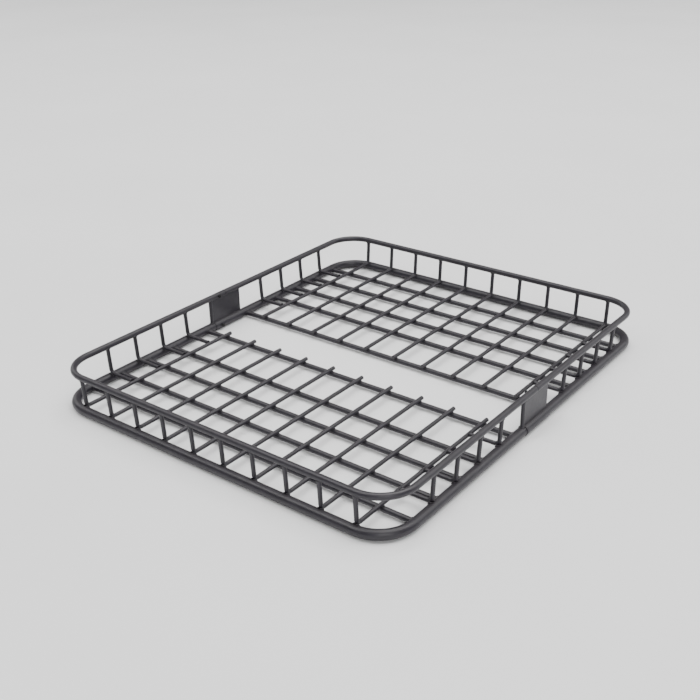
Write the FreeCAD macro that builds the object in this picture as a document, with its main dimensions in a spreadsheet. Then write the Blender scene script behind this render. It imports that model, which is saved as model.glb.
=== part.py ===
"""Roof cargo basket: two welded half frames joined by sleeved brackets on the long sides.

Frame: origin at the centre of the footprint on the ground, +X to the right, +Y to the rear, +Z up.
Lengths are in millimetres. "Front" is the -Y half and "rear" is the +Y half.
"""
import FreeCAD, Part
import math
import os

import Sketcher
from FreeCAD import Placement, Rotation, Vector

doc = FreeCAD.newDocument("roof_cargo_basket")

# ---------------------------------------------------------------- driving dimensions
sheet = doc.addObject("Spreadsheet::Sheet", "Size")
DIMENSIONS = [
    ("overall_width", 940),          # across the base tubes
    ("overall_length", 1106),        # along the base tubes
    ("base_tube_dia", 22.2),
    ("base_tube_wall", 1.5),
    ("base_corner_radius", 80),      # to the tube's centre line
    ("rail_tube_dia", 15),
    ("rail_tube_wall", 1.5),
    ("rail_rise", 81),               # rail centre above base tube centre
    ("rail_end_inset", 4.5),         # rail centre inside the base tube's centre at each end
    ("rail_corner_radius", 80),
    ("crossbar_dia", 12.7),
    ("crossbar_drop", 2.2),          # crossbar centre below the base tube's centre
    ("first_crossbar", 88.4),        # from the end of the base tube's centre line
    ("crossbar_pitch", 85.5),
    ("last_crossbar", 468),
    ("rod_dia", 9.5),
    ("rod_pitch", 84.5),
    ("rod_bend_radius", 10),
    ("rod_overhang", 10),            # floor rod past the last crossbar
    ("end_post_inset", 8.3),         # foot of an end post inside the base tube's centre
    ("side_post_inset", 3.7),        # foot of a side post inside the base tube's centre
    ("side_post_bend_radius", 12),
    ("side_leg_rise", 11.6),         # side post's leg above the base tube's centre
    ("first_side_post", 146),        # from the end of the base tube's centre line
    ("weld_gap", 0.05),              # root gap between pieces that are welded together
    ("joint_gap", 1),                # between the two halves' tubes
    ("sleeve_dia", 25),
    ("sleeve_wall", 1.2),
    ("bracket_length", 103),
    ("bracket_reach", 46.5),         # of the bracket over the front half, from the centre
    ("bracket_plate_thickness", 3),
    ("upper_splice_dia", 11.6),
    ("upper_splice_length", 90),
    ("screw_setback", 24.5),         # screw centre from the tube's end
    ("screw_hole_play", 0.3),        # radial
    ("thread_play", 0.05),           # radial
    ("lower_screw_dia", 6),
    ("lower_screw_length", 12),
    ("lower_head_dia", 10.5),
    ("lower_head_height", 3.3),
    ("lower_socket_flats", 4),
    ("lower_nut_flats", 10),
    ("lower_nut_height", 5),
    ("lower_nut_seat", 7.5),         # nut's seating face inside the base tube's centre
    ("upper_screw_dia", 5),
    ("upper_screw_length", 8),
    ("upper_head_dia", 9.5),
    ("upper_head_height", 2.75),
    ("upper_socket_flats", 3),
]
FLOOR_RODS = 10                      # in each half
CROSSBARS = 5
SIDE_POSTS = 4                       # on each side of each half
HEAD_ROUNDING = 0.6                  # of a screw head's height
SOCKET_DEPTH = 0.6

for row, (alias, value) in enumerate(DIMENSIONS, start=1):
    sheet.set(f"A{row}", alias.replace("_", " "))
    sheet.set(f"B{row}", str(value))
    sheet.setAlias(f"B{row}", alias)
doc.recompute()

# Expressions that several pieces share.
HALF_WIDTH = "(Size.overall_width - Size.base_tube_dia) / 2"
HALF_LENGTH = "(Size.overall_length - Size.base_tube_dia) / 2"
BASE_Z = "Size.sleeve_dia / 2"
RAIL_Z = f"({BASE_Z} + Size.rail_rise)"
JOINT_END = "(Size.joint_gap / 2)"
CROSSBAR_Z = f"({BASE_Z} - Size.crossbar_drop)"
FLOOR_ROD_Z = f"({CROSSBAR_Z} + (Size.crossbar_dia + Size.rod_dia) / 2 + Size.weld_gap)"
SIDE_LEG_Z = f"({BASE_Z} + Size.side_leg_rise)"
POST_TOP_Z = f"({RAIL_Z} - Size.rail_tube_dia / 2 - Size.weld_gap)"
FOOT_Y = f"({HALF_LENGTH} - Size.end_post_inset)"
ROD_INNER_Y = f"({HALF_LENGTH} - Size.last_crossbar - Size.rod_overhang)"
SCREW_Y = f"(-{JOINT_END} - Size.screw_setback)"

HALVES = (("front", 0), ("rear", 180))
SIDES = (("left", -1), ("right", 1))
sub_parts = []


# ---------------------------------------------------------------- helpers
def number(expression):
    """Value of an expression on the sheet."""
    return float(sheet.evalExpression(expression))


def keep(piece, label):
    """Name a finished sub-part and list it for export."""
    piece.Label = label
    sub_parts.append(piece)
    return piece


def origin_plane(body, role):
    return next(item for item in body.Origin.OriginFeatures if item.Role == role)


def bind_placement(piece, x, y, z, turn=0):
    """Put a piece at x, y, z (expressions), turned about +Z by turn degrees."""
    piece.Placement = Placement(Vector(number(x), number(y), number(z)), Rotation(Vector(0, 0, 1), turn))
    piece.setExpression("Placement.Base.x", x)
    piece.setExpression("Placement.Base.y", y)
    piece.setExpression("Placement.Base.z", z)


def new_sketch(body, name, plane):
    sketch = body.newObject("Sketcher::SketchObject", name)
    sketch.AttachmentSupport = [(origin_plane(body, plane), "")]
    sketch.MapMode = "FlatFace"
    return sketch


def constrain(sketch, kind, *arguments, expression):
    """Add a dimension whose value is bound to the sheet."""
    index = sketch.addConstraint(Sketcher.Constraint(kind, *arguments, number(expression)))
    sketch.setExpression(f"Constraints[{index}]", expression)


def ring_section(body, plane, outer, inner=None):
    """A circle, or two concentric ones, round the body's origin."""
    sketch = new_sketch(body, "Section", plane)
    for diameter in (outer, inner):
        if diameter is None:
            continue
        circle = Part.Circle(Vector(0, 0, 0), Vector(0, 0, 1), number(diameter) / 2)
        item = sketch.addGeometry(circle, False)
        sketch.addConstraint(Sketcher.Constraint("Coincident", item, 3, -1, 1))
        constrain(sketch, "Diameter", item, expression=diameter)
    return sketch


def bent_path(body, plane, corners, bend):
    """Straight runs through the corners, joined by tangent arcs of one radius."""
    sketch = new_sketch(body, "Path", plane)
    points = [Vector(number(u), number(v), 0) for u, v in corners]
    radius = number(bend)
    marks = []
    for (u, v), point in zip(corners, points):
        mark = sketch.addGeometry(Part.Point(point), True)
        constrain(sketch, "DistanceX", -1, 1, mark, 1, expression=u)
        constrain(sketch, "DistanceY", -1, 1, mark, 1, expression=v)
        marks.append(mark)

    entries = [points[0]]
    exits = []
    arcs = []
    for before, corner, after in zip(points, points[1:], points[2:]):
        back = (before - corner).normalize()
        ahead = (after - corner).normalize()
        half_angle = back.getAngle(ahead) / 2
        setback = radius / math.tan(half_angle)
        centre = corner + (back + ahead).normalize() * (radius / math.sin(half_angle))
        start = corner + back * setback
        finish = corner + ahead * setback
        left_turn = (-back).cross(ahead).z > 0
        first, last = (start, finish) if left_turn else (finish, start)
        first_angle = math.atan2(first.y - centre.y, first.x - centre.x)
        last_angle = math.atan2(last.y - centre.y, last.x - centre.x)
        circle = Part.Circle(centre, Vector(0, 0, 1), radius)
        arcs.append((Part.ArcOfCircle(circle, first_angle, last_angle), left_turn))
        exits.append(start)
        entries.append(finish)
    exits.append(points[-1])

    lines = []
    for index, (start, finish) in enumerate(zip(entries, exits)):
        line = sketch.addGeometry(Part.LineSegment(start, finish), False)
        lines.append(line)
        if index > 0:
            sketch.addConstraint(Sketcher.Constraint("PointOnObject", marks[index], 1, line))
        if index < len(exits) - 1:
            sketch.addConstraint(Sketcher.Constraint("PointOnObject", marks[index + 1], 1, line))
    sketch.addConstraint(Sketcher.Constraint("Coincident", lines[0], 1, marks[0], 1))
    sketch.addConstraint(Sketcher.Constraint("Coincident", lines[-1], 2, marks[-1], 1))
    for index, (arc, left_turn) in enumerate(arcs):
        item = sketch.addGeometry(arc, False)
        first_end, last_end = (1, 2) if left_turn else (2, 1)
        sketch.addConstraint(Sketcher.Constraint("Tangent", lines[index], 2, item, first_end))
        sketch.addConstraint(Sketcher.Constraint("Tangent", lines[index + 1], 1, item, last_end))
        constrain(sketch, "Radius", item, expression=bend)
    return sketch


def bent_tube(label, path_plane, section_plane, corners, bend, outer, inner=None):
    """A bent rod, or tube if it has an inner diameter, whose path starts at the body's origin."""
    body = doc.addObject("PartDesign::Body", label)
    section = ring_section(body, section_plane, outer, inner)
    path = bent_path(body, path_plane, corners, bend)
    doc.recompute()
    pipe = body.newObject("PartDesign::AdditivePipe", "Pipe")
    pipe.Profile = section
    pipe.Spine = (path, [])
    body.Tip = pipe
    return body


def straight_bar(label, outer, length, turn_axis):
    """A solid cylinder from its base point along +X (turn_axis Y) or +Y (turn_axis -X)."""
    bar = doc.addObject("Part::Cylinder", label)
    bar.setExpression("Radius", f"({outer}) / 2")
    bar.setExpression("Height", length)
    bar.Placement = Placement(Vector(0, 0, 0), Rotation(turn_axis, 90))
    return bar


def place_bar(bar, x, y, z):
    for axis, expression in zip("xyz", (x, y, z)):
        bar.setExpression(f"Placement.Base.{axis}", expression)


def cut(base, tool, label="Cut"):
    piece = doc.addObject("Part::Cut", label)
    piece.Base = base
    piece.Tool = tool
    return piece


def side_hole(side, y, z, radius, start, end="0"):
    """A drill along X; start and end are distances inside the base tube's centre line."""
    drill = doc.addObject("Part::Cylinder", "Drill")
    drill.setExpression("Radius", radius)
    drill.setExpression("Height", f"({start}) - ({end})")
    drill.Placement = Placement(Vector(0, 0, 0), Rotation(Vector(0, 1, 0), 90 * side))
    place_bar(drill, f"{side} * ({HALF_WIDTH} - ({start}))", y, z)
    return drill


def drill_near_wall(piece, side, z, screw_dia, outer):
    """A clearance hole for a screw in the wall that faces the inside of the basket."""
    radius = f"{screw_dia} / 2 + Size.screw_hole_play"
    return cut(piece, side_hole(side, SCREW_Y, z, radius, outer))


# ---------------------------------------------------------------- base tubes and rails
def half_loop(label, half_width, reach, height, turn, bend, outer, wall):
    """A U of tube: down one long side, across the end and back up the other side."""
    corners = [
        ("0", "0"),
        ("0", f"-({reach})"),
        (f"2 * ({half_width})", f"-({reach})"),
        (f"2 * ({half_width})", "0"),
    ]
    tube = bent_tube(label, "XY_Plane", "XZ_Plane", corners, bend, outer, f"{outer} - 2 * {wall}")
    sign = "-1" if turn == 0 else "1"
    bind_placement(tube, f"{sign} * ({half_width})", f"{sign} * {JOINT_END}", height, turn)
    return tube


def make_base_tubes():
    for name, turn in HALVES:
        tube = half_loop(
            f"base_tube_{name}_blank", HALF_WIDTH, f"{HALF_LENGTH} - {JOINT_END}", BASE_Z, turn,
            "Size.base_corner_radius", "Size.base_tube_dia", "Size.base_tube_wall")
        if name == "front":
            for _, side in SIDES:
                tube = drill_near_wall(tube, side, BASE_Z, "Size.lower_screw_dia", "Size.base_tube_dia")
        keep(tube, f"base_tube_{name}")


def make_rails():
    for name, turn in HALVES:
        tube = half_loop(
            f"rail_{name}_blank", HALF_WIDTH, f"{HALF_LENGTH} - Size.rail_end_inset - {JOINT_END}",
            RAIL_Z, turn, "Size.rail_corner_radius", "Size.rail_tube_dia", "Size.rail_tube_wall")
        if name == "front":
            for _, side in SIDES:
                tube = drill_near_wall(tube, side, RAIL_Z, "Size.upper_screw_dia", "Size.rail_tube_dia")
        keep(tube, f"rail_{name}")


# ---------------------------------------------------------------- floor and posts
def make_crossbars():
    half_span = f"({HALF_WIDTH} - Size.base_tube_dia / 2 - Size.weld_gap)"
    for name, turn in HALVES:
        sign = -1 if turn == 0 else 1
        for index in range(CROSSBARS):
            offset = f"(Size.first_crossbar + {index} * Size.crossbar_pitch)"
            if index == CROSSBARS - 1:
                offset = "Size.last_crossbar"
            bar = straight_bar("Crossbar", "Size.crossbar_dia", f"2 * {half_span}", Vector(0, 1, 0))
            place_bar(bar, f"-{half_span}", f"{sign} * ({HALF_LENGTH} - {offset})", CROSSBAR_Z)
            keep(bar, f"crossbar_{name}_{index + 1}")


def make_floor_rods():
    """Rods along the floor, each turned up at the outer end to make an end post."""
    run = f"({FOOT_Y} - {ROD_INNER_Y})"
    lean = "(Size.end_post_inset - Size.rail_end_inset)"
    rise = f"({POST_TOP_Z} - {FLOOR_ROD_Z})"
    corners = [("0", "0"), (f"-{run}", "0"), (f"-{run} - {lean}", rise)]
    for name, turn in HALVES:
        sign = -1 if turn == 0 else 1
        for index in range(FLOOR_RODS):
            rod = bent_tube(f"floor_rod_{name}_{index + 1}", "YZ_Plane", "XZ_Plane",
                            corners, "Size.rod_bend_radius", "Size.rod_dia")
            x = f"{index - (FLOOR_RODS - 1) / 2} * Size.rod_pitch"
            bind_placement(rod, x, f"{sign} * {ROD_INNER_Y}", FLOOR_ROD_Z, turn)
            keep(rod, rod.Label)


def make_side_posts():
    """Rods that stand under the rail, bend over the base tube and run in to the outermost floor rod."""
    outermost_rod = f"({(FLOOR_RODS - 1) / 2} * Size.rod_pitch)"
    leg_end = f"({outermost_rod} + Size.rod_dia / 2 + Size.weld_gap)"
    leg = f"({HALF_WIDTH} - Size.side_post_inset - {leg_end})"
    lean = "Size.side_post_inset"
    rise = f"({POST_TOP_Z} - {SIDE_LEG_Z})"
    for half, sign in (("front", -1), ("rear", 1)):
        for name, side in SIDES:
            corners = [("0", "0"), (f"{side} * {leg}", "0"), (f"{side} * ({leg} + {lean})", rise)]
            for index in range(SIDE_POSTS):
                post = bent_tube(f"side_post_{half}_{name}_{index + 1}", "XZ_Plane", "YZ_Plane",
                                 corners, "Size.side_post_bend_radius", "Size.rod_dia")
                y = f"{sign} * ({HALF_LENGTH} - Size.first_side_post - {index} * Size.rod_pitch)"
                bind_placement(post, f"{side} * {leg_end}", y, SIDE_LEG_Z)
                keep(post, post.Label)


def make_joint_posts():
    """Straight posts at the ends of the front half, which stop against the brackets."""
    foot = f"({BASE_Z} + Size.base_tube_dia / 2 + Size.weld_gap)"
    y = "-(Size.bracket_reach + Size.rod_dia / 2 + Size.weld_gap)"
    for name, side in SIDES:
        post = doc.addObject("Part::Cylinder", "Post")
        post.setExpression("Radius", "Size.rod_dia / 2")
        post.setExpression("Height", f"{POST_TOP_Z} - {foot}")
        place_bar(post, f"{side} * {HALF_WIDTH}", y, foot)
        keep(post, f"joint_post_{name}")


# ---------------------------------------------------------------- side connectors
def make_joint_brackets():
    """A sleeve over the base tubes' ends with a plate on it that reaches up to the rails."""
    length = "Size.bracket_length"
    start = "-Size.bracket_reach"
    plate_foot = f"({BASE_Z} + (Size.sleeve_dia - Size.sleeve_wall) / 2)"
    for name, side in SIDES:
        outside = straight_bar("Outside", "Size.sleeve_dia", length, Vector(-1, 0, 0))
        inside = straight_bar("Inside", "Size.sleeve_dia - 2 * Size.sleeve_wall", length, Vector(-1, 0, 0))
        for bar in (outside, inside):
            place_bar(bar, f"{side} * {HALF_WIDTH}", start, BASE_Z)
        plate = doc.addObject("Part::Box", "Plate")
        plate.setExpression("Length", "Size.bracket_plate_thickness")
        plate.setExpression("Width", length)
        plate.setExpression("Height", f"{POST_TOP_Z} - {plate_foot}")
        place_bar(plate, f"{side} * {HALF_WIDTH} - Size.bracket_plate_thickness / 2", start, plate_foot)
        welded = doc.addObject("Part::Fuse", "Welded")
        welded.Base = cut(outside, inside)
        welded.Tool = plate
        bracket = drill_near_wall(welded, side, BASE_Z, "Size.lower_screw_dia", "Size.sleeve_dia")
        keep(bracket, f"joint_bracket_{name}")


def make_upper_splices():
    """Solid bars inside the rails, drilled and tapped for the upper screws."""
    radius = "Size.upper_screw_dia / 2 + Size.thread_play"
    for name, side in SIDES:
        bar = straight_bar("Bar", "Size.upper_splice_dia", "Size.upper_splice_length", Vector(-1, 0, 0))
        place_bar(bar, f"{side} * {HALF_WIDTH}", "-Size.upper_splice_length / 2", RAIL_Z)
        drill = side_hole(side, SCREW_Y, RAIL_Z, radius, "Size.upper_splice_dia", "-Size.upper_splice_dia")
        keep(cut(bar, drill), f"upper_splice_{name}")


def button_screw(side, z, crest, screw_size):
    """A button-head screw along X, its head towards the inside of the basket."""
    diameter = f"Size.{screw_size}_screw_dia"
    length = f"Size.{screw_size}_screw_length"
    head_dia = f"Size.{screw_size}_head_dia"
    head_height = f"Size.{screw_size}_head_height"
    socket_flats = f"Size.{screw_size}_socket_flats"
    outward = Placement(Vector(0, 0, 0), Rotation(Vector(0, 1, 0), 90 * side))
    under_head = f"{side} * ({HALF_WIDTH} - {crest} - Size.weld_gap)"
    head_face = f"{side} * ({HALF_WIDTH} - {crest} - Size.weld_gap - {head_height})"

    disc = doc.addObject("Part::Cylinder", "Head")
    disc.setExpression("Radius", f"{head_dia} / 2")
    disc.setExpression("Height", head_height)
    disc.Placement = outward
    place_bar(disc, head_face, SCREW_Y, z)
    doc.recompute()
    dome = doc.addObject("Part::Fillet", "Dome")
    dome.Base = disc
    rounding = HEAD_ROUNDING * number(head_height)
    dome.Edges = [(3, rounding, rounding)]

    recess = doc.addObject("Part::Prism", "Socket")
    recess.Polygon = 6
    recess.setExpression("Circumradius", f"{socket_flats} / sqrt(3)")
    recess.setExpression("Height", f"{SOCKET_DEPTH} * {head_height}")
    recess.Placement = outward
    place_bar(recess, head_face, SCREW_Y, z)

    stem = doc.addObject("Part::Cylinder", "Stem")
    stem.setExpression("Radius", f"{diameter} / 2")
    stem.setExpression("Height", length)
    stem.Placement = outward
    place_bar(stem, under_head, SCREW_Y, z)

    screw = doc.addObject("Part::Fuse", "Screw")
    screw.Base = cut(dome, recess)
    screw.Tool = stem
    return screw


def lower_nut(side):
    """A hexagon nut inside the base tube, run up against the wall that faces the basket."""
    blank = doc.addObject("Part::Prism", "NutBlank")
    blank.Polygon = 6
    blank.setExpression("Circumradius", "Size.lower_nut_flats / sqrt(3)")
    blank.setExpression("Height", "Size.lower_nut_height")
    blank.Placement = Placement(Vector(0, 0, 0), Rotation(Vector(0, 1, 0), 90 * side))
    place_bar(blank, f"{side} * ({HALF_WIDTH} - Size.lower_nut_seat)", SCREW_Y, BASE_Z)
    radius = "Size.lower_screw_dia / 2 + Size.thread_play"
    return cut(blank, side_hole(side, SCREW_Y, BASE_Z, radius, "Size.base_tube_dia"))


def group(pieces, label):
    """Identical fasteners share one node as separate solids."""
    compound = doc.addObject("Part::Compound", label)
    compound.Links = pieces
    keep(compound, label)


def make_fasteners():
    sleeve_crest = "Size.sleeve_dia / 2"
    rail_crest = "Size.rail_tube_dia / 2"
    group([button_screw(side, BASE_Z, sleeve_crest, "lower") for _, side in SIDES], "lower_screws")
    group([button_screw(side, RAIL_Z, rail_crest, "upper") for _, side in SIDES], "upper_screws")
    group([lower_nut(side) for _, side in SIDES], "lower_nuts")


make_base_tubes()
make_rails()
make_crossbars()
make_floor_rods()
make_side_posts()
make_joint_posts()
make_joint_brackets()
make_upper_splices()
make_fasteners()
doc.recompute()

# ---------------------------------------------------------------- check and write
for item in doc.Objects:
    if any(state in ("Invalid", "Error") for state in item.State):
        raise RuntimeError(f"{item.Label} failed: {item.State}")
for piece in sub_parts:
    if piece.Shape.isNull() or not piece.Shape.isValid() or not piece.Shape.Solids:
        raise RuntimeError(f"{piece.Label} has no valid solid")

os.makedirs("parts", exist_ok=True)
for piece in sub_parts:
    piece.Shape.exportStep(f"parts/{piece.Label}.step")
print(len(sub_parts), "sub-parts written")
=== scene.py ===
"""Looks of the roof cargo basket: powder-coated steel tube and rod with weld beads, on a pale floor."""

import math
import random

import bmesh
import bpy
from mathutils import Matrix, Vector


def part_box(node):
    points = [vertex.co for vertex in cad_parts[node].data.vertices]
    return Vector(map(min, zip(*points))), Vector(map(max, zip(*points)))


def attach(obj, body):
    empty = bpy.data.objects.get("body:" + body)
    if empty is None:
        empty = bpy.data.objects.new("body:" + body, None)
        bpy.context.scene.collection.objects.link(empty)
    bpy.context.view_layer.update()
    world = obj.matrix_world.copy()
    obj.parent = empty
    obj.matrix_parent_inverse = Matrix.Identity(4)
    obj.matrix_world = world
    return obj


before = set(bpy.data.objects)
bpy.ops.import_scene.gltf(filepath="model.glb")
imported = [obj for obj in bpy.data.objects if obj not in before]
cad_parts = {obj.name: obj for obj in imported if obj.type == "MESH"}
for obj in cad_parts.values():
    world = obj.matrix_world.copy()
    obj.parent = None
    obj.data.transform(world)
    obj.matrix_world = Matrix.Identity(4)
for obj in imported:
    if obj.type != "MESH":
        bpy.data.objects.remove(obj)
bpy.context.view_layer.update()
random.seed(7)

MM = 0.001

# The camera stands off the front right corner and looks down along the long side.
CAMERA_PLACE = (1.3222, -1.7602, 1.1420)
CAMERA_AZIMUTH = 37.767
CAMERA_ELEVATION = 26.257
CAMERA_ROLL = -1.06
CAMERA_LENS = 52.51
CAMERA_SENSOR = 36

# The world's brightness, and the heights (the upward part of a unit direction) where it changes.
WALL_BRIGHTNESS = 0.8
CEILING_BRIGHTNESS = 2.2
HORIZON_BRIGHTNESS = 9
WALL_TOP = 0.15
CEILING_BOTTOM = 0.75
HORIZON_TOP = 0.10
HORIZON_FADE = 0.30

FLOOR_HALF_SIZE = 30.0
FLOOR_DROP = 0.5 * MM                # keeps the floor clear of the basket's lowest faces

# Each soft box: name, place, side and power.
SOFT_BOXES = (
    ("key", (-4.8, -3.6, 9.6), 6.6, 600),
    ("fill", (8.4, -7.2, 6.0), 7.2, 720),
    ("top", (0.9, 2.4, 10.8), 9.0, 1500),
    ("back", (6.0, 8.1, 6.3), 7.8, 450),
    ("left", (-9.0, 1.5, 5.0), 6.0, 180),
)

# Radii of the weld beads.
POST_TOP_BEAD = 1.5 * MM
POST_FOOT_BEAD = 2.3 * MM
JOINT_POST_BEAD = 1.7 * MM
CROSSBAR_BEAD = 1.9 * MM
CROSSING_BEAD = 1.6 * MM
LEG_BEAD = 1.3 * MM
PLATE_BEAD = 1.4 * MM
SLEEVE_BEAD = 1.05 * MM
RAIL_WELD_START = 2 * MM             # behind the joint, since only the rear rail is welded to the plate

# Where the posts' feet stand and how they bend, as in the CAD model.
END_POST_INSET = 8.3 * MM
END_POST_BEND = 10 * MM
SIDE_POST_INSET = 3.7 * MM
SIDE_POST_BEND = 12 * MM
PLATE_THICKNESS = 3 * MM


# ---------------------------------------------------------------- camera
def make_camera():
    azimuth = math.radians(CAMERA_AZIMUTH)
    elevation = math.radians(CAMERA_ELEVATION)
    camera = bpy.data.objects.new("camera", bpy.data.cameras.new("camera"))
    bpy.context.scene.collection.objects.link(camera)
    ahead = Vector((-math.sin(azimuth) * math.cos(elevation),
                    math.cos(azimuth) * math.cos(elevation),
                    -math.sin(elevation)))
    roll = Matrix.Rotation(math.radians(CAMERA_ROLL), 3, "Z")
    turn = ahead.to_track_quat("-Z", "Y").to_matrix() @ roll
    camera.matrix_world = Matrix.Translation(CAMERA_PLACE) @ turn.to_4x4()
    camera.data.sensor_width = CAMERA_SENSOR
    camera.data.lens = CAMERA_LENS
    camera.data.clip_end = 50
    bpy.context.scene.camera = camera


# ---------------------------------------------------------------- materials
class Nodes:
    """Short calls for building a material's node tree."""

    def __init__(self, name):
        self.material = bpy.data.materials.new(name)
        self.material.use_nodes = True
        self.tree = self.material.node_tree
        self.shader = self.tree.nodes["Principled BSDF"]

    def add(self, kind, **settings):
        node = self.tree.nodes.new(kind)
        for key, value in settings.items():
            if key in node.inputs:
                node.inputs[key].default_value = value
            else:
                setattr(node, key, value)
        return node

    def link(self, source, output, target, socket):
        self.tree.links.new(source.outputs[output], target.inputs[socket])


def noise(nodes, scale, detail=3.0, roughness=0.5):
    coordinates = nodes.add("ShaderNodeTexCoord")
    texture = nodes.add("ShaderNodeTexNoise", Scale=scale, Detail=detail, Roughness=roughness)
    nodes.link(coordinates, "Object", texture, "Vector")
    return texture


def ramp(nodes, source, low, high, first, last):
    """Colour ramp from first at low to last at high."""
    node = nodes.add("ShaderNodeValToRGB")
    node.color_ramp.elements[0].position = low
    node.color_ramp.elements[0].color = (*first, 1)
    node.color_ramp.elements[1].position = high
    node.color_ramp.elements[1].color = (*last, 1)
    nodes.link(source, 0, node, "Fac")
    return node


def value_range(nodes, source, low, high):
    node = nodes.add("ShaderNodeMapRange")
    node.inputs["To Min"].default_value = low
    node.inputs["To Max"].default_value = high
    nodes.link(source, 0, node, "Value")
    return node


def powder_coat(name, tint=1.0, peel_strength=0.12):
    """Satin charcoal powder coat: fine orange peel, slight mottling and a little dust on top."""
    nodes = Nodes(name)
    mottle = noise(nodes, 55, detail=4)
    colour = ramp(nodes, mottle, 0.3, 0.72,
                  (0.0135 * tint, 0.0115 * tint, 0.0165 * tint), (0.020 * tint, 0.017 * tint, 0.024 * tint))
    geometry = nodes.add("ShaderNodeNewGeometry")
    split = nodes.add("ShaderNodeSeparateXYZ")
    nodes.link(geometry, "Normal", split, "Vector")
    upward = nodes.add("ShaderNodeMapRange")
    upward.inputs["From Min"].default_value = 0.55
    upward.inputs["From Max"].default_value = 1.0
    upward.inputs["To Max"].default_value = 0.10
    nodes.link(split, "Z", upward, "Value")
    patches = noise(nodes, 9, detail=5, roughness=0.65)
    amount = nodes.add("ShaderNodeMath", operation="MULTIPLY")
    nodes.link(upward, 0, amount, 0)
    nodes.link(patches, 0, amount, 1)
    dusty = nodes.add("ShaderNodeMixRGB")
    dusty.inputs["Color2"].default_value = (0.30, 0.28, 0.26, 1)
    nodes.link(amount, 0, dusty, "Fac")
    nodes.link(colour, 0, dusty, "Color1")
    nodes.link(dusty, 0, nodes.shader, "Base Color")
    gloss = value_range(nodes, noise(nodes, 140, detail=2), 0.34, 0.48)
    nodes.link(gloss, 0, nodes.shader, "Roughness")
    nodes.shader.inputs["Specular IOR Level"].default_value = 0.5
    peel = noise(nodes, 900, detail=2)
    bump = nodes.add("ShaderNodeBump", Strength=peel_strength, Distance=0.0004)
    nodes.link(peel, 0, bump, "Height")
    nodes.link(bump, 0, nodes.shader, "Normal")
    return nodes.material


def black_oxide(name):
    """Dark screws and nuts with a faint metallic sheen."""
    nodes = Nodes(name)
    colour = ramp(nodes, noise(nodes, 400, detail=3), 0.35, 0.7, (0.012, 0.012, 0.014), (0.035, 0.034, 0.036))
    nodes.link(colour, 0, nodes.shader, "Base Color")
    nodes.shader.inputs["Metallic"].default_value = 0.7
    gloss = value_range(nodes, noise(nodes, 700), 0.28, 0.45)
    nodes.link(gloss, 0, nodes.shader, "Roughness")
    bump = nodes.add("ShaderNodeBump", Strength=0.1, Distance=0.0002)
    nodes.link(noise(nodes, 1500), 0, bump, "Height")
    nodes.link(bump, 0, nodes.shader, "Normal")
    return nodes.material


def set_material(thing, material):
    thing.data.materials.clear()
    thing.data.materials.append(material)


def dress_cad_nodes():
    coat = powder_coat("powder_coat")
    steel = black_oxide("black_steel")
    for name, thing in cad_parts.items():
        dark = "screw" in name or "nut" in name or name.startswith("upper_splice")
        set_material(thing, steel if dark else coat)


# ---------------------------------------------------------------- floor and light
def make_floor():
    mesh = bpy.data.meshes.new("floor")
    size = FLOOR_HALF_SIZE
    corners = [(-size, -size, 0), (size, -size, 0), (size, size, 0), (-size, size, 0)]
    mesh.from_pydata(corners, [], [(0, 1, 2, 3)])
    floor = bpy.data.objects.new("floor", mesh)
    bpy.context.scene.collection.objects.link(floor)
    floor.location.z = -FLOOR_DROP
    nodes = Nodes("floor_paper")
    tone = ramp(nodes, noise(nodes, 1.5, detail=2), 0.3, 0.7, (0.86, 0.86, 0.86), (0.89, 0.89, 0.89))
    nodes.link(tone, 0, nodes.shader, "Base Color")
    nodes.shader.inputs["Roughness"].default_value = 0.9
    nodes.shader.inputs["Specular IOR Level"].default_value = 0.2
    set_material(floor, nodes.material)


def area_light(name, place, size, power):
    """A square soft box that faces the basket."""
    data = bpy.data.lights.new(name, "AREA")
    data.energy = power
    data.size = size
    light = bpy.data.objects.new(name, data)
    bpy.context.scene.collection.objects.link(light)
    light.location = place
    light.rotation_euler = (-Vector(place)).to_track_quat("-Z", "Y").to_euler()


def make_world():
    """A studio pale at the horizon, with darker walls above it that give the tubes dark outlines."""
    world = bpy.data.worlds.new("studio")
    bpy.context.scene.world = world
    world.use_nodes = True
    tree = world.node_tree
    background = tree.nodes["Background"]
    direction = tree.nodes.new("ShaderNodeTexCoord")
    split = tree.nodes.new("ShaderNodeSeparateXYZ")
    tree.links.new(direction.outputs["Generated"], split.inputs["Vector"])
    height = tree.nodes.new("ShaderNodeMapRange")
    height.inputs["From Min"].default_value = WALL_TOP
    height.inputs["From Max"].default_value = CEILING_BOTTOM
    height.inputs["To Min"].default_value = WALL_BRIGHTNESS
    height.inputs["To Max"].default_value = CEILING_BRIGHTNESS
    tree.links.new(split.outputs["Z"], height.inputs["Value"])
    horizon = tree.nodes.new("ShaderNodeMapRange")
    horizon.inputs["From Min"].default_value = HORIZON_TOP
    horizon.inputs["From Max"].default_value = HORIZON_FADE
    horizon.inputs["To Min"].default_value = HORIZON_BRIGHTNESS
    horizon.inputs["To Max"].default_value = 0
    tree.links.new(split.outputs["Z"], horizon.inputs["Value"])
    total = tree.nodes.new("ShaderNodeMath")
    total.operation = "ADD"
    tree.links.new(height.outputs["Result"], total.inputs[0])
    tree.links.new(horizon.outputs["Result"], total.inputs[1])
    tree.links.new(total.outputs["Value"], background.inputs["Strength"])


# ---------------------------------------------------------------- places read from the frame
def middle(node):
    low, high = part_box(node)
    return (Vector(low) + Vector(high)) / 2


def extent(node):
    low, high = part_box(node)
    return Vector(high) - Vector(low)


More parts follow.
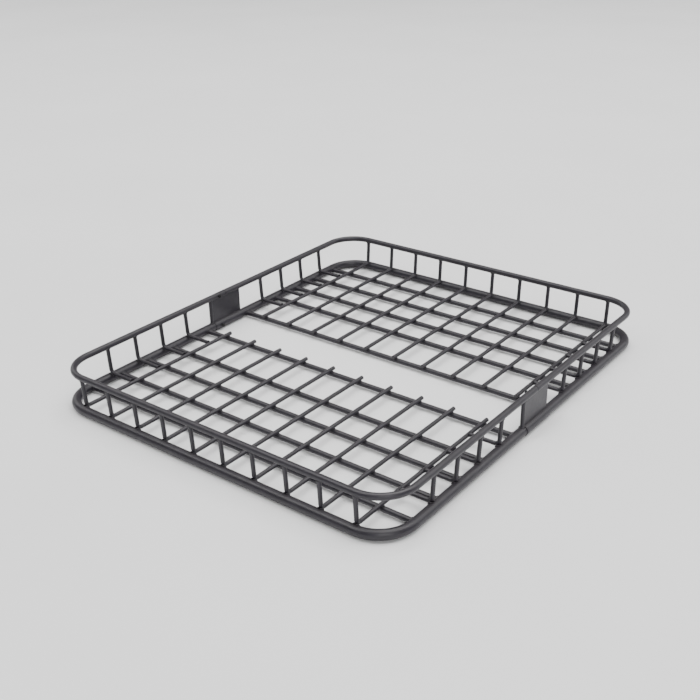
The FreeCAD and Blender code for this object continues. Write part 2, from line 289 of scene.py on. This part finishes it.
BASE_RADIUS = extent("base_tube_front").z / 2
BASE_Z = middle("base_tube_front").z
HALF_WIDTH = extent("base_tube_front").x / 2 - BASE_RADIUS
HALF_LENGTH = -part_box("base_tube_front")[0][1] - BASE_RADIUS
RAIL_RADIUS = extent("rail_front").z / 2
RAIL_Z = middle("rail_front").z
RAIL_HALF_LENGTH = -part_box("rail_front")[0][1] - RAIL_RADIUS
ROD_RADIUS = extent("floor_rod_front_1").x / 2
ROD_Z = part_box("floor_rod_front_1")[0][2] + ROD_RADIUS
POST_TOP_Z = RAIL_Z - RAIL_RADIUS
CROSSBAR_RADIUS = extent("crossbar_front_1").z / 2
SLEEVE_RADIUS = extent("joint_bracket_left").x / 2

X_AXIS = Vector((1, 0, 0))
Y_AXIS = Vector((0, 1, 0))
Z_AXIS = Vector((0, 0, 1))


def named(prefix):
    return sorted(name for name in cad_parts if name.startswith(prefix))


class Post:
    """A post's centre line from its foot corner to the rail, and where its bend meets the base tube."""

    def __init__(self, foot, top, inward, bend, tube_centre, tube_axis):
        self.top = top
        self.rise = (top - foot).normalized()
        self.tube_centre = tube_centre
        self.tube_axis = tube_axis
        half_angle = inward.angle(self.rise) / 2
        bend_centre = foot + (inward + self.rise).normalized() * (bend / math.sin(half_angle))
        self.outward = (bend_centre - tube_centre).normalized()


def end_posts():
    for name in named("floor_rod"):
        sign = -1 if "front" in name else 1
        x = middle(name).x
        foot = Vector((x, sign * (HALF_LENGTH - END_POST_INSET), ROD_Z))
        top = Vector((x, sign * RAIL_HALF_LENGTH, POST_TOP_Z))
        tube_centre = Vector((x, sign * HALF_LENGTH, BASE_Z))
        yield Post(foot, top, -sign * Y_AXIS, END_POST_BEND, tube_centre, X_AXIS)


def side_posts():
    for name in named("side_post"):
        side = -1 if "left" in name else 1
        y = middle(name).y
        leg_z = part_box(name)[0][2] + ROD_RADIUS
        foot = Vector((side * (HALF_WIDTH - SIDE_POST_INSET), y, leg_z))
        top = Vector((side * HALF_WIDTH, y, POST_TOP_Z))
        tube_centre = Vector((side * HALF_WIDTH, y, BASE_Z))
        yield Post(foot, top, -side * X_AXIS, SIDE_POST_BEND, tube_centre, Y_AXIS)


# ---------------------------------------------------------------- weld beads
RIPPLE_STEPS = 4                     # points along one ripple of a bead
BEAD_SIDES = 8


def add_bead(target, path, size, closed=False):
    """A rippled bead round a path of (point, outward direction); an open one tapers at both ends."""
    count = len(path)
    phase = random.uniform(0, 2 * math.pi)
    rings = []
    for index, (point, outward) in enumerate(path):
        before = path[index - 1][0] if closed or index > 0 else point
        after = path[(index + 1) % count][0] if closed or index < count - 1 else point
        along = (after - before).normalized()
        first = (outward - along * outward.dot(along)).normalized()
        second = along.cross(first)
        ripple = 1 + 0.09 * math.cos(2 * math.pi * index / RIPPLE_STEPS) + random.uniform(-0.05, 0.05)
        swell = 1 + 0.14 * math.sin(2 * math.pi * index / count + phase)
        taper = 1 if closed else math.sqrt(math.sin(math.pi * (index + 0.5) / count))
        reach = size * ripple * swell * taper
        turns = [2 * math.pi * side / BEAD_SIDES for side in range(BEAD_SIDES)]
        rings.append([target.verts.new(point + (first * math.cos(turn) + second * math.sin(turn)) * reach)
                      for turn in turns])
    for index in range(count if closed else count - 1):
        ring = rings[index]
        following = rings[(index + 1) % count]
        for side in range(BEAD_SIDES):
            beside = (side + 1) % BEAD_SIDES
            target.faces.new((ring[side], following[side], following[beside], ring[beside]))
    if not closed:
        target.faces.new(rings[0])
        target.faces.new(list(reversed(rings[-1])))


def collar(origin, axis, radius, host_point, host_axis, host_radius, reach=1.0, count=64):
    """Path round a bar of that radius where it runs along its axis into a host tube."""
    side = axis.cross(host_axis).normalized()
    other = axis.cross(side)
    path = []
    for index in range(count):
        angle = 2 * math.pi * index / count
        outward = side * math.cos(angle) + other * math.sin(angle)
        start = origin + outward * radius
        offset = start - host_point
        across = offset - host_axis * offset.dot(host_axis)
        step = axis - host_axis * axis.dot(host_axis)
        a = step.dot(step)
        b = 2 * across.dot(step)
        c = across.dot(across) - host_radius ** 2
        travel = (-b - math.sqrt(max(b * b - 4 * a * c, 0))) / (2 * a)
        path.append((start + axis * min(travel, reach), outward))
    return path


def finish_mesh(target, name, material):
    bmesh.ops.recalc_face_normals(target, faces=target.faces)
    mesh = bpy.data.meshes.new(name)
    target.to_mesh(mesh)
    target.free()
    for face in mesh.polygons:
        face.use_smooth = True
    piece = bpy.data.objects.new(name, mesh)
    bpy.context.scene.collection.objects.link(piece)
    set_material(piece, material)
    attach(piece, "root")
    return piece


def weld_post_tops(material):
    """A collar round each post where it meets the underside of the rail."""
    tops = [(post.top, post.rise, post.tube_axis) for post in [*end_posts(), *side_posts()]]
    for name in named("joint_post"):
        centre = middle(name)
        tops.append((Vector((centre.x, centre.y, POST_TOP_Z)), Z_AXIS, Y_AXIS))
    target = bmesh.new()
    for top, rise, rail_axis in tops:
        host = Vector((top.x, top.y, RAIL_Z))
        path = collar(top - rise * RAIL_RADIUS, rise, ROD_RADIUS, host, rail_axis, RAIL_RADIUS)
        add_bead(target, path, POST_TOP_BEAD, closed=True)
    finish_mesh(target, "weld_post_tops", material)


def weld_post_feet(material):
    """A bead on each side of every post, where its bend lies on the shoulder of the base tube."""
    half_angle = 0.62                # how far a bead runs round the tube to each side, in radians
    bead_height = 0.6 * MM           # of its middle above the tube
    bead_offset = 3.9 * MM           # from the post's centre line
    steps = 24
    target = bmesh.new()
    for post in [*end_posts(), *side_posts()]:
        around = post.outward.cross(post.tube_axis)
        for side in (-1, 1):
            path = []
            for index in range(steps):
                angle = half_angle * (2 * index / (steps - 1) - 1)
                outward = post.outward * math.cos(angle) + around * math.sin(angle)
                point = post.tube_centre + outward * (BASE_RADIUS + bead_height)
                path.append((point + post.tube_axis * (side * bead_offset), outward))
            add_bead(target, path, POST_FOOT_BEAD)
    for name in named("joint_post"):
        centre = middle(name)
        host = Vector((centre.x, centre.y, BASE_Z))
        origin = host + Z_AXIS * 2 * BASE_RADIUS
        path = collar(origin, -Z_AXIS, ROD_RADIUS, host, Y_AXIS, BASE_RADIUS, 2 * BASE_RADIUS)
        add_bead(target, path, JOINT_POST_BEAD, closed=True)
    finish_mesh(target, "weld_post_feet", material)


def weld_crossbar_ends(material):
    """A collar round each end of every crossbar, where it butts against the base tube."""
    target = bmesh.new()
    for name in named("crossbar"):
        centre = middle(name)
        for side in (-1, 1):
            origin = Vector((side * (HALF_WIDTH - 2 * BASE_RADIUS), centre.y, centre.z))
            host = Vector((side * HALF_WIDTH, centre.y, BASE_Z))
            path = collar(origin, side * X_AXIS, CROSSBAR_RADIUS, host, Y_AXIS, BASE_RADIUS)
            add_bead(target, path, CROSSBAR_BEAD, closed=True)
    finish_mesh(target, "weld_crossbar_ends", material)


def weld_floor_crossings(material):
    """Two short beads at every crossing, in the corners between a floor rod and the bar under it."""
    steps = 12
    half_run = 4.2 * MM
    bead_offset = 3.1 * MM           # from the rod's centre line
    bead_height = 0.5 * MM           # above the bar's top
    target = bmesh.new()
    for half in ("front", "rear"):
        for rod in named(f"floor_rod_{half}"):
            for bar in named(f"crossbar_{half}"):
                contact = Vector((middle(rod).x, middle(bar).y, middle(bar).z + CROSSBAR_RADIUS))
                for side in (-1, 1):
                    path = []
                    for index in range(steps):
                        along = half_run * (2 * index / (steps - 1) - 1)
                        drop = along * along / (2 * CROSSBAR_RADIUS)
                        point = contact + Vector((side * bead_offset, along, bead_height - drop))
                        path.append((point, Z_AXIS))
                    add_bead(target, path, CROSSING_BEAD)
    finish_mesh(target, "weld_floor_crossings", material)


def weld_leg_ends(material):
    """A collar where each side post's leg butts against the outermost floor rod."""
    rod_x = max(abs(middle(name).x) for name in named("floor_rod"))
    target = bmesh.new()
    for name in named("side_post"):
        side = -1 if "left" in name else 1
        leg_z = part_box(name)[0][2] + ROD_RADIUS
        end = side * (rod_x + ROD_RADIUS)
        origin = Vector((end + side * ROD_RADIUS, middle(name).y, leg_z))
        host = Vector((side * rod_x, origin.y, ROD_Z))
        path = collar(origin, -side * X_AXIS, ROD_RADIUS, host, Y_AXIS, ROD_RADIUS, ROD_RADIUS + 0.8 * MM)
        add_bead(target, path, LEG_BEAD, closed=True)
    finish_mesh(target, "weld_leg_ends", material)


def weld_joint_brackets(material):
    """Fillets beside each plate, on the sleeve and under the rear rail, and a ring behind the sleeve."""
    bead_step = 0.5 * MM
    bead_offset = 0.4 * MM           # of a bead's middle from the plate's face or the sleeve's end
    ring_offset = 0.1 * MM           # of the ring's middle from the base tube
    ring_points = 120
    target = bmesh.new()
    for name in named("joint_bracket"):
        low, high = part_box(name)
        x = middle(name).x
        offset = PLATE_THICKNESS / 2
        sleeve_top = BASE_Z + math.sqrt(SLEEVE_RADIUS ** 2 - offset ** 2)
        for z, start in ((sleeve_top, low[1]), (high[2], RAIL_WELD_START)):
            steps = round((high[1] - start) / bead_step)
            for facing in (-X_AXIS, X_AXIS):
                path = []
                for index in range(steps):
                    y = start + (high[1] - start) * index / (steps - 1)
                    path.append((Vector((x, y, z)) + facing * (offset + bead_offset), facing))
                add_bead(target, path, PLATE_BEAD)
        turns = [2 * math.pi * index / ring_points for index in range(ring_points)]
        outwards = [Vector((math.cos(turn), 0, math.sin(turn))) for turn in turns]
        centre = Vector((x, high[1] + bead_offset, BASE_Z))
        path = [(centre + outward * (BASE_RADIUS + ring_offset), outward) for outward in outwards]
        add_bead(target, path, SLEEVE_BEAD, closed=True)
    finish_mesh(target, "weld_joint_brackets", material)


make_camera()
make_floor()
make_world()
for soft_box in SOFT_BOXES:
    area_light(*soft_box)
dress_cad_nodes()
weld_coat = powder_coat("weld_coat", tint=0.8, peel_strength=0.3)
weld_post_tops(weld_coat)
weld_post_feet(weld_coat)
weld_crossbar_ends(weld_coat)
weld_floor_crossings(weld_coat)
weld_leg_ends(weld_coat)
weld_joint_brackets(weld_coat)
